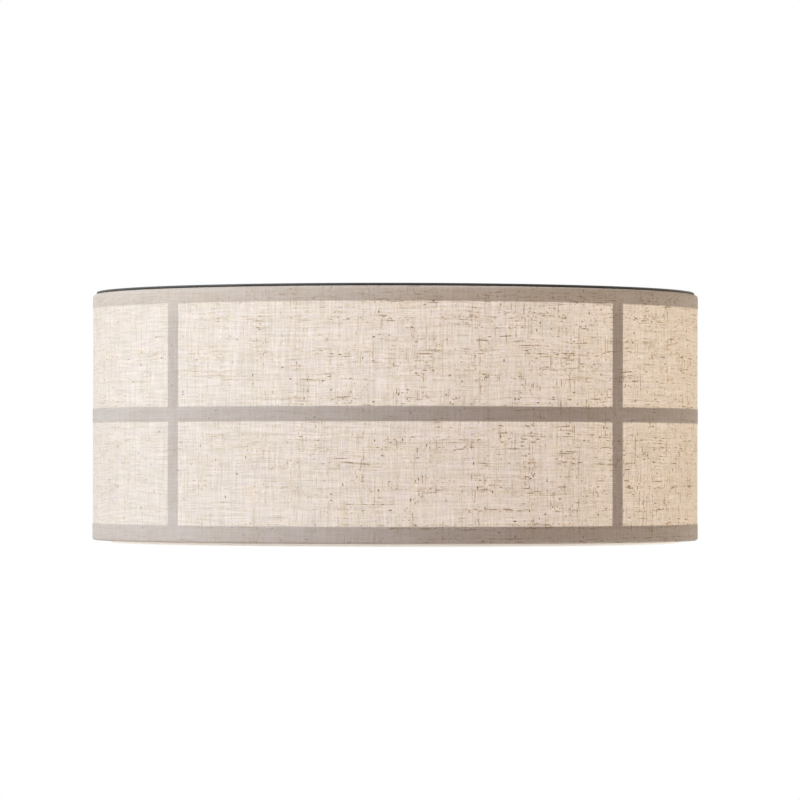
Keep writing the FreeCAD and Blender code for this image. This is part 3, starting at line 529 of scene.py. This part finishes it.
metals = {  # plated and bare metal, under their slots
    "zinc": dict(name="zincPlate", colour=(0.66, 0.67, 0.68), dull=(0.50, 0.51, 0.53), roughness=0.32),
    "brass": dict(name="bareBrass", colour=(0.78, 0.60, 0.29), dull=(0.55, 0.40, 0.20), roughness=0.28),
    "nickel": dict(name="nickelPlate", colour=(0.70, 0.68, 0.64), dull=(0.58, 0.56, 0.52), roughness=0.22),
}


def makeMetal(name, colour, dull, roughness):
    look = metalLook
    material, tree, shader = newMaterial(name, {})
    given = useGroup(tree, metalWear, {"Vector": objectPlace(tree), "Streak Length": look["streakLength"]})
    tone = mixed(tree, given["Spangle"], colour, tuple(c * look["spangle"] for c in colour))
    feed(tree, mixed(tree, given["Spots"], tone, dull), shader.inputs["Base Color"])
    rough = remap(tree, given["Streaks"], *look["streakRange"],
                  roughness * look["smoothest"], roughness * look["roughest"])
    rough = calc(tree, "ADD", rough, calc(tree, "MULTIPLY", given["Spots"], look["spotRoughness"]))
    feed(tree, rough, shader.inputs["Roughness"])
    feed(tree, remap(tree, given["Spots"], 0, 1, 1.0, look["spotMetal"]), shader.inputs["Metallic"])
    bumped(tree, shader, given["Streaks"], look["bump"], look["bumpDepth"])
    return material


finishes = {
    "linen": makeLinenCloth(), "lining": makeLiningFilm(), "opal": makeOpalAcrylic(),
    "bulb_opal": makeBulbOpal(), "green_yellow_sleeve": makeStripedSleeve(),
}
finishes.update({slot: makeCoat(**values) for slot, values in coats.items()})
finishes.update({slot: makeMetal(**values) for slot, values in metals.items()})
for part in frame["record"]["subparts"]:
    shown = nodes[part["node"]]
    shown.data.materials.clear()
    shown.data.materials.append(finishes[part["material_slot"]])
print("stage: materials placed on the frame")


turning = {"nudge": 0.01, "mergeGap": 0.000002, "sharpDegrees": 35}  # the gap is in metres


def makeTurnRound():
    # sweeps a profile of (radius, 0, level) points round the axis; its marked points sink between the bars
    tree, given, out = newGroup(
        "turnRound",
        [("Profile", "NodeSocketGeometry", None), ("Rows", "NodeSocketInt", 10),
         ("Segments", "NodeSocketInt", 360), ("Sink", "NodeSocketFloat", 0.0),
         ("Bars", "NodeSocketInt", 4), ("First Bar", "NodeSocketFloat", 0.0),
         ("Bar Width", "NodeSocketFloat", 0.012), ("Edge", "NodeSocketFloat", 0.002),
         ("Material", "NodeSocketMaterial", None)],
        [("Mesh", "NodeSocketGeometry")], "GeometryNodeTree")
    fullTurn = 2 * math.pi
    columns = calc(tree, "ADD", given["Segments"], 1.0)
    grid = put(tree, "GeometryNodeMeshGrid", {"Vertices X": columns, "Vertices Y": given["Rows"]})
    index = put(tree, "GeometryNodeInputIndex").outputs[0]
    row = calc(tree, "MODULO", index, given["Rows"])
    nudged = calc(tree, "ADD", index, turning["nudge"])  # keeps a whole number from rounding down
    column = calc(tree, "FLOOR", calc(tree, "DIVIDE", nudged, given["Rows"]))
    turn = calc(tree, "MULTIPLY", calc(tree, "DIVIDE", column, given["Segments"]), fullTurn)

    def sampled(value, kind):
        node = put(tree, "GeometryNodeSampleIndex", {"Geometry": given["Profile"], "Index": row},
                   data_type=kind, domain="POINT")
        feed(tree, value, node.inputs["Value"])
        return node.outputs[0]

    spot = sampled(put(tree, "GeometryNodeInputPosition").outputs[0], "FLOAT_VECTOR")
    marked = put(tree, "GeometryNodeInputNamedAttribute", {"Name": "sinks"}, data_type="FLOAT")
    depth = sampled(marked.outputs["Attribute"], "FLOAT")

    share = calc(tree, "DIVIDE", calc(tree, "SUBTRACT", turn, given["First Bar"]), fullTurn)
    away = fromNearest(tree, calc(tree, "MULTIPLY", share, given["Bars"]))
    spacing = calc(tree, "DIVIDE", calc(tree, "MULTIPLY", parted(tree, spot)[0], fullTurn), given["Bars"])
    away = calc(tree, "MULTIPLY", away, spacing)
    half = calc(tree, "MULTIPLY", given["Bar Width"], 0.5)
    soft = calc(tree, "MULTIPLY", given["Edge"], 0.5)
    clear = remap(tree, away, calc(tree, "SUBTRACT", half, soft), calc(tree, "ADD", half, soft))
    sunk = calc(tree, "MULTIPLY", calc(tree, "MULTIPLY", given["Sink"], depth), clear)
    spot = vectorCalc(tree, "SUBTRACT", spot, joined(tree, sunk))
    spun = put(tree, "ShaderNodeVectorRotate", {"Vector": spot, "Angle": turn}, rotation_type="Z_AXIS")

    mesh = grid.outputs["Mesh"]
    mesh = put(tree, "GeometryNodeSetPosition", {0: mesh, "Position": spun.outputs[0]}).outputs[0]
    mesh = put(tree, "GeometryNodeMergeByDistance", {0: mesh, "Distance": turning["mergeGap"]}).outputs[0]
    mesh = put(tree, "GeometryNodeSetShadeSmooth", {0: mesh}).outputs[0]
    mesh = put(tree, "GeometryNodeRealizeInstances", {0: mesh}).outputs[0]
    mesh = put(tree, "GeometryNodeSetMaterial", {0: mesh, "Material": given["Material"]}).outputs[0]
    feed(tree, mesh, out["Mesh"])
    return tree


def arc(centreRadius, centreLevel, radius, startDegrees, endDegrees, steps):
    points = []
    for index in range(steps + 1):
        angle = math.radians(startDegrees + (endDegrees - startDegrees) * index / steps)
        points.append((centreRadius + radius * math.cos(angle), centreLevel + radius * math.sin(angle)))
    return points


def spaced(low, high, step):
    count = max(1, math.ceil(abs(high - low) / step))
    return [low + (high - low) * index / count for index in range(count + 1)]


def socketNames(tree):
    return {item.name: item.identifier for item in tree.interface.items_tree if item.in_out == "INPUT"}


def applyTree(piece, tree, values):
    modifier = piece.modifiers.new(tree.name, "NODES")
    modifier.node_group = tree
    names = socketNames(tree)
    for label, value in values.items():
        modifier[names[label]] = value
    evaluated = piece.evaluated_get(bpy.context.evaluated_depsgraph_get())
    result = bpy.data.meshes.new_from_object(evaluated)
    piece.modifiers.remove(modifier)
    old = piece.data
    piece.data = result
    result.name = piece.name
    bpy.data.meshes.remove(old)


def turned(name, profile, slot, segments, sinks=None, sharpDegrees=turning["sharpDegrees"], **values):
    # profile: (radius, level) in millimetres, running counter-clockwise so that faces point outwards
    mesh = bpy.data.meshes.new(name)
    mesh.from_pydata([(radius * mm, 0, level * mm) for radius, level in profile], [], [])
    marks = mesh.attributes.new("sinks", "FLOAT", "POINT")
    marks.data.foreach_set("value", sinks or [0.0] * len(profile))
    piece = bpy.data.objects.new(name, mesh)
    bpy.context.scene.collection.objects.link(piece)
    values.update({"Rows": len(profile), "Segments": segments, "Material": finishes[slot]})
    applyTree(piece, turnRound, values)
    piece.data.set_sharp_from_angle(angle=math.radians(sharpDegrees))
    return piece


turnRound = makeTurnRound()

drum = {  # millimetres; the cloth is turned in over the top and bottom rings and sinks a little between bars
    "cloth": 0.5, "rollTop": 3.0, "rollBottom": 2.0, "turnIn": 3.58, "rollLead": 0.6, "sink": 0.25,
    "barGap": 0.5, "rowStep": 3.2, "insideStep": 30, "topSteps": 7, "bottomSteps": 6, "insideSteps": 5,
    "segments": 588, "sharpDegrees": 50,
}


def drumProfile():
    # goes up the outside, over the top edge and down the inside
    low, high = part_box("linen_skin")
    radius, bottom, top = high.x / mm, low.z / mm, high.z / mm
    cloth, rollTop, rollBottom = drum["cloth"], drum["rollTop"], drum["rollBottom"]
    innerEdge = radius - drum["turnIn"]
    topCentre = (radius - rollTop, top - rollTop)
    bottomCentre = (radius - rollBottom, bottom + rollBottom)
    profile = [(innerEdge, bottom), (radius - rollBottom - drum["rollLead"], bottom)]
    profile += arc(*bottomCentre, rollBottom, -90, 0, drum["bottomSteps"])
    sinks = [0.0] * len(profile)
    gap = drum["barGap"]
    stretches = [(bottom + rollBottom, barPlan["bottomHigh"] - gap, 0.0),
                 (barPlan["bottomHigh"] + gap, barPlan["middleLow"] - gap, 1.0),
                 (barPlan["middleLow"] + gap, barPlan["middleHigh"] - gap, 0.0),
                 (barPlan["middleHigh"] + gap, barPlan["topLow"] - gap, 1.0),
                 (barPlan["topLow"] + gap, top - rollTop, 0.0)]
    for start, end, sinking in stretches:
        levels = spaced(start, end, drum["rowStep"])
        profile += [(radius, level) for level in levels]
        sinks += [sinking] * len(levels)
    ending = arc(*topCentre, rollTop, 0, 90, drum["topSteps"])
    ending += [(innerEdge, top), (innerEdge, top - cloth)]
    ending += arc(*topCentre, rollTop - cloth, 90, 0, drum["insideSteps"])
    ending += [(radius - cloth, level) for level in spaced(topCentre[1], bottomCentre[1], drum["insideStep"])]
    ending += arc(*bottomCentre, rollBottom - cloth, 0, -90, drum["insideSteps"])
    ending += [(innerEdge, bottom + cloth), (innerEdge, bottom)]
    return profile + ending, sinks + [0.0] * len(ending)


def makeLinenDrum():
    profile, sinks = drumProfile()
    piece = turned("linenDrum", profile, "linen", drum["segments"], sinks, drum["sharpDegrees"], **{
        "Sink": drum["sink"] * mm, "Bars": barPlan["uprights"],
        "First Bar": math.radians(barPlan["firstDegrees"]),
        "Bar Width": 2 * barPlan["halfWidth"] * mm, "Edge": 2 * barPlan["soft"] * mm})
    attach(piece, "shade")
    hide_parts("linen_skin")
    return piece


linenDrum = makeLinenDrum()
print("stage: linen drum,", len(linenDrum.data.polygons), "faces")


lining = {"wall": 0.5, "rowStep": 40, "segments": 360}  # millimetres


def makeLining():
    low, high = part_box("shade_lining")
    outer, bottom, top = high.x / mm, low.z / mm, high.z / mm
    inner = outer - lining["wall"]
    profile = [(outer, level) for level in spaced(bottom, top, lining["rowStep"])]
    profile += [(inner, level) for level in spaced(top, bottom, lining["rowStep"])]
    profile.append(profile[0])
    piece = turned("liningFilm", profile, "lining", lining["segments"])
    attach(piece, "shade")
    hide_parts("shade_lining")


diffuser = {  # millimetres; the wall stands inside the ledge, and the flange rests on it
    "sheet": 2.0, "edge": 1.6, "wallInset": 1.0, "ledgeInner": 235.92, "flangeRound": 0.5,
    "underStep": 12, "insideStep": 24, "edgeSteps": 8, "roundSteps": 4, "segments": 300,
}


def makeDiffuser():
    low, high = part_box("diffuser_dish")
    rim, under, top = high.x / mm, low.z / mm, high.z / mm
    sheet, edge, nose, steps = (diffuser[key] for key in ("sheet", "edge", "flangeRound", "roundSteps"))
    wall = diffuser["ledgeInner"] - diffuser["wallInset"]
    seat = top - sheet
    profile = [(radius, under) for radius in spaced(0, wall - edge, diffuser["underStep"])]
    profile += arc(wall - edge, under + edge, edge, -90, 0, diffuser["edgeSteps"])[1:]
    profile += arc(wall + nose, seat - nose, nose, 180, 90, steps)
    profile += arc(rim - nose, seat + nose, nose, -90, 0, steps)
    profile += arc(rim - nose, top - nose, nose, 0, 90, steps)
    profile += arc(wall - sheet + nose, top - nose, nose, 90, 180, steps)
    profile += arc(wall - sheet - nose, under + sheet + nose, nose, 0, -90, steps)
    insideRadii = spaced(wall - sheet - 2 * nose, 0, diffuser["insideStep"])
    profile += [(radius, under + sheet) for radius in insideRadii]
    piece = turned("opalDiffuser", profile, "opal", diffuser["segments"])
    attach(piece, "diffuser")
    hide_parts("diffuser_dish")


makeLining()
makeDiffuser()
print("stage: lining and diffuser")


stage = {  # metres; the floor lies low enough for a camera that looks up at the light
    "floorLevel": -5.2, "floorHalf": 48.0, "floorColour": (0.93, 0.855, 0.835),
    "floorCloud": (0.921, 0.846, 0.827), "cloudSize": 3.0, "cloudDetail": 3.0,
    "floorSurface": {"Roughness": 0.8, "Specular IOR Level": 0.1, "Emission Strength": 1.0},
    "floorLift": (0.31, 0.30, 0.305), "ambient": (0.11, 0.1385, 0.1405),
}

suns = {  # degrees; turn is measured from the front towards the left, soft is the sun's width
    "key": {"turn": 72.0, "rise": 35.0, "power": 3.07, "tint": (0.956, 1.06, 1.122), "soft": 40.0},
    "fill": {"turn": -100.0, "rise": 10.0, "power": 0.76, "tint": (1.0, 0.92, 0.65), "soft": 60.0},
    "rim": {"turn": -145.0, "rise": 10.0, "power": 0.45, "tint": (1.0, 0.93, 0.66), "soft": 30.0},
}

cameraPlan = {  # metres, lens in millimetres, small turns in radians
    "distance": 4.3206, "level": -0.1423, "lens": 234.9, "sensor": 36.0, "near": 0.1, "far": 100.0,
    "lookUpDegrees": 0.713, "lookRight": 0.0009, "roll": 0.0014,
}


def seenDirectly(tree):
    # only what looks at the floor or the studio sees them white; the light on the object stays as it is
    rays = put(tree, "ShaderNodeLightPath").outputs
    return largest(tree, rays["Is Camera Ray"], rays["Is Glossy Ray"], rays["Is Transmission Ray"])


def makeFloor():
    material, tree, shader = newMaterial("paleFloor", stage["floorSurface"])
    clouds = noise(tree, objectPlace(tree), stage["cloudSize"], stage["cloudDetail"])
    feed(tree, mixed(tree, clouds, stage["floorColour"], stage["floorCloud"]), shader.inputs["Base Color"])
    feed(tree, mixed(tree, seenDirectly(tree), black, stage["floorLift"]), shader.inputs["Emission Color"])
    half, level = stage["floorHalf"], stage["floorLevel"]
    corners = [(-half, -half, level), (half, -half, level), (half, half, level), (-half, half, level)]
    mesh = bpy.data.meshes.new("floor")
    mesh.from_pydata(corners, [], [(0, 1, 2, 3)])
    mesh.materials.append(material)
    floor = bpy.data.objects.new("floor", mesh)
    bpy.context.scene.collection.objects.link(floor)


def makeSun(name, plan):
    turn, rise = math.radians(plan["turn"]), math.radians(plan["rise"])
    source = Vector((-math.sin(turn) * math.cos(rise), -math.cos(turn) * math.cos(rise), math.sin(rise)))
    lamp = bpy.data.lights.new(name, "SUN")
    lamp.energy = plan["power"]
    lamp.color = plan["tint"]
    lamp.angle = math.radians(plan["soft"])
    holder = bpy.data.objects.new(name, lamp)
    holder.rotation_mode = "QUATERNION"
    holder.rotation_quaternion = source.to_track_quat("Z", "Y")
    bpy.context.scene.collection.objects.link(holder)


def makeWorld():
    world = bpy.data.worlds.new("studio")
    bpy.context.scene.world = world
    world.use_nodes = True
    tree = world.node_tree
    colour = mixed(tree, seenDirectly(tree), stage["ambient"], white)
    feed(tree, colour, tree.nodes["Background"].inputs["Color"])


def makeCamera():
    lens = bpy.data.cameras.new("camera")
    lens.lens = cameraPlan["lens"]
    lens.sensor_width = cameraPlan["sensor"]
    lens.clip_start = cameraPlan["near"]
    lens.clip_end = cameraPlan["far"]
    camera = bpy.data.objects.new("camera", lens)
    camera.location = (0, -cameraPlan["distance"], cameraPlan["level"])
    yaw = Quaternion((0, 0, 1), -cameraPlan["lookRight"])
    pitch = Quaternion((1, 0, 0), math.radians(90 + cameraPlan["lookUpDegrees"]))
    roll = Quaternion((0, 0, 1), cameraPlan["roll"])
    camera.rotation_mode = "QUATERNION"
    camera.rotation_quaternion = yaw @ pitch @ roll
    bpy.context.scene.collection.objects.link(camera)
    bpy.context.scene.camera = camera


makeFloor()
for name, plan in suns.items():
    makeSun(name, plan)
makeWorld()
makeCamera()
bpy.context.scene.view_settings.view_transform = "Standard"
print("stage: floor, lights and camera")
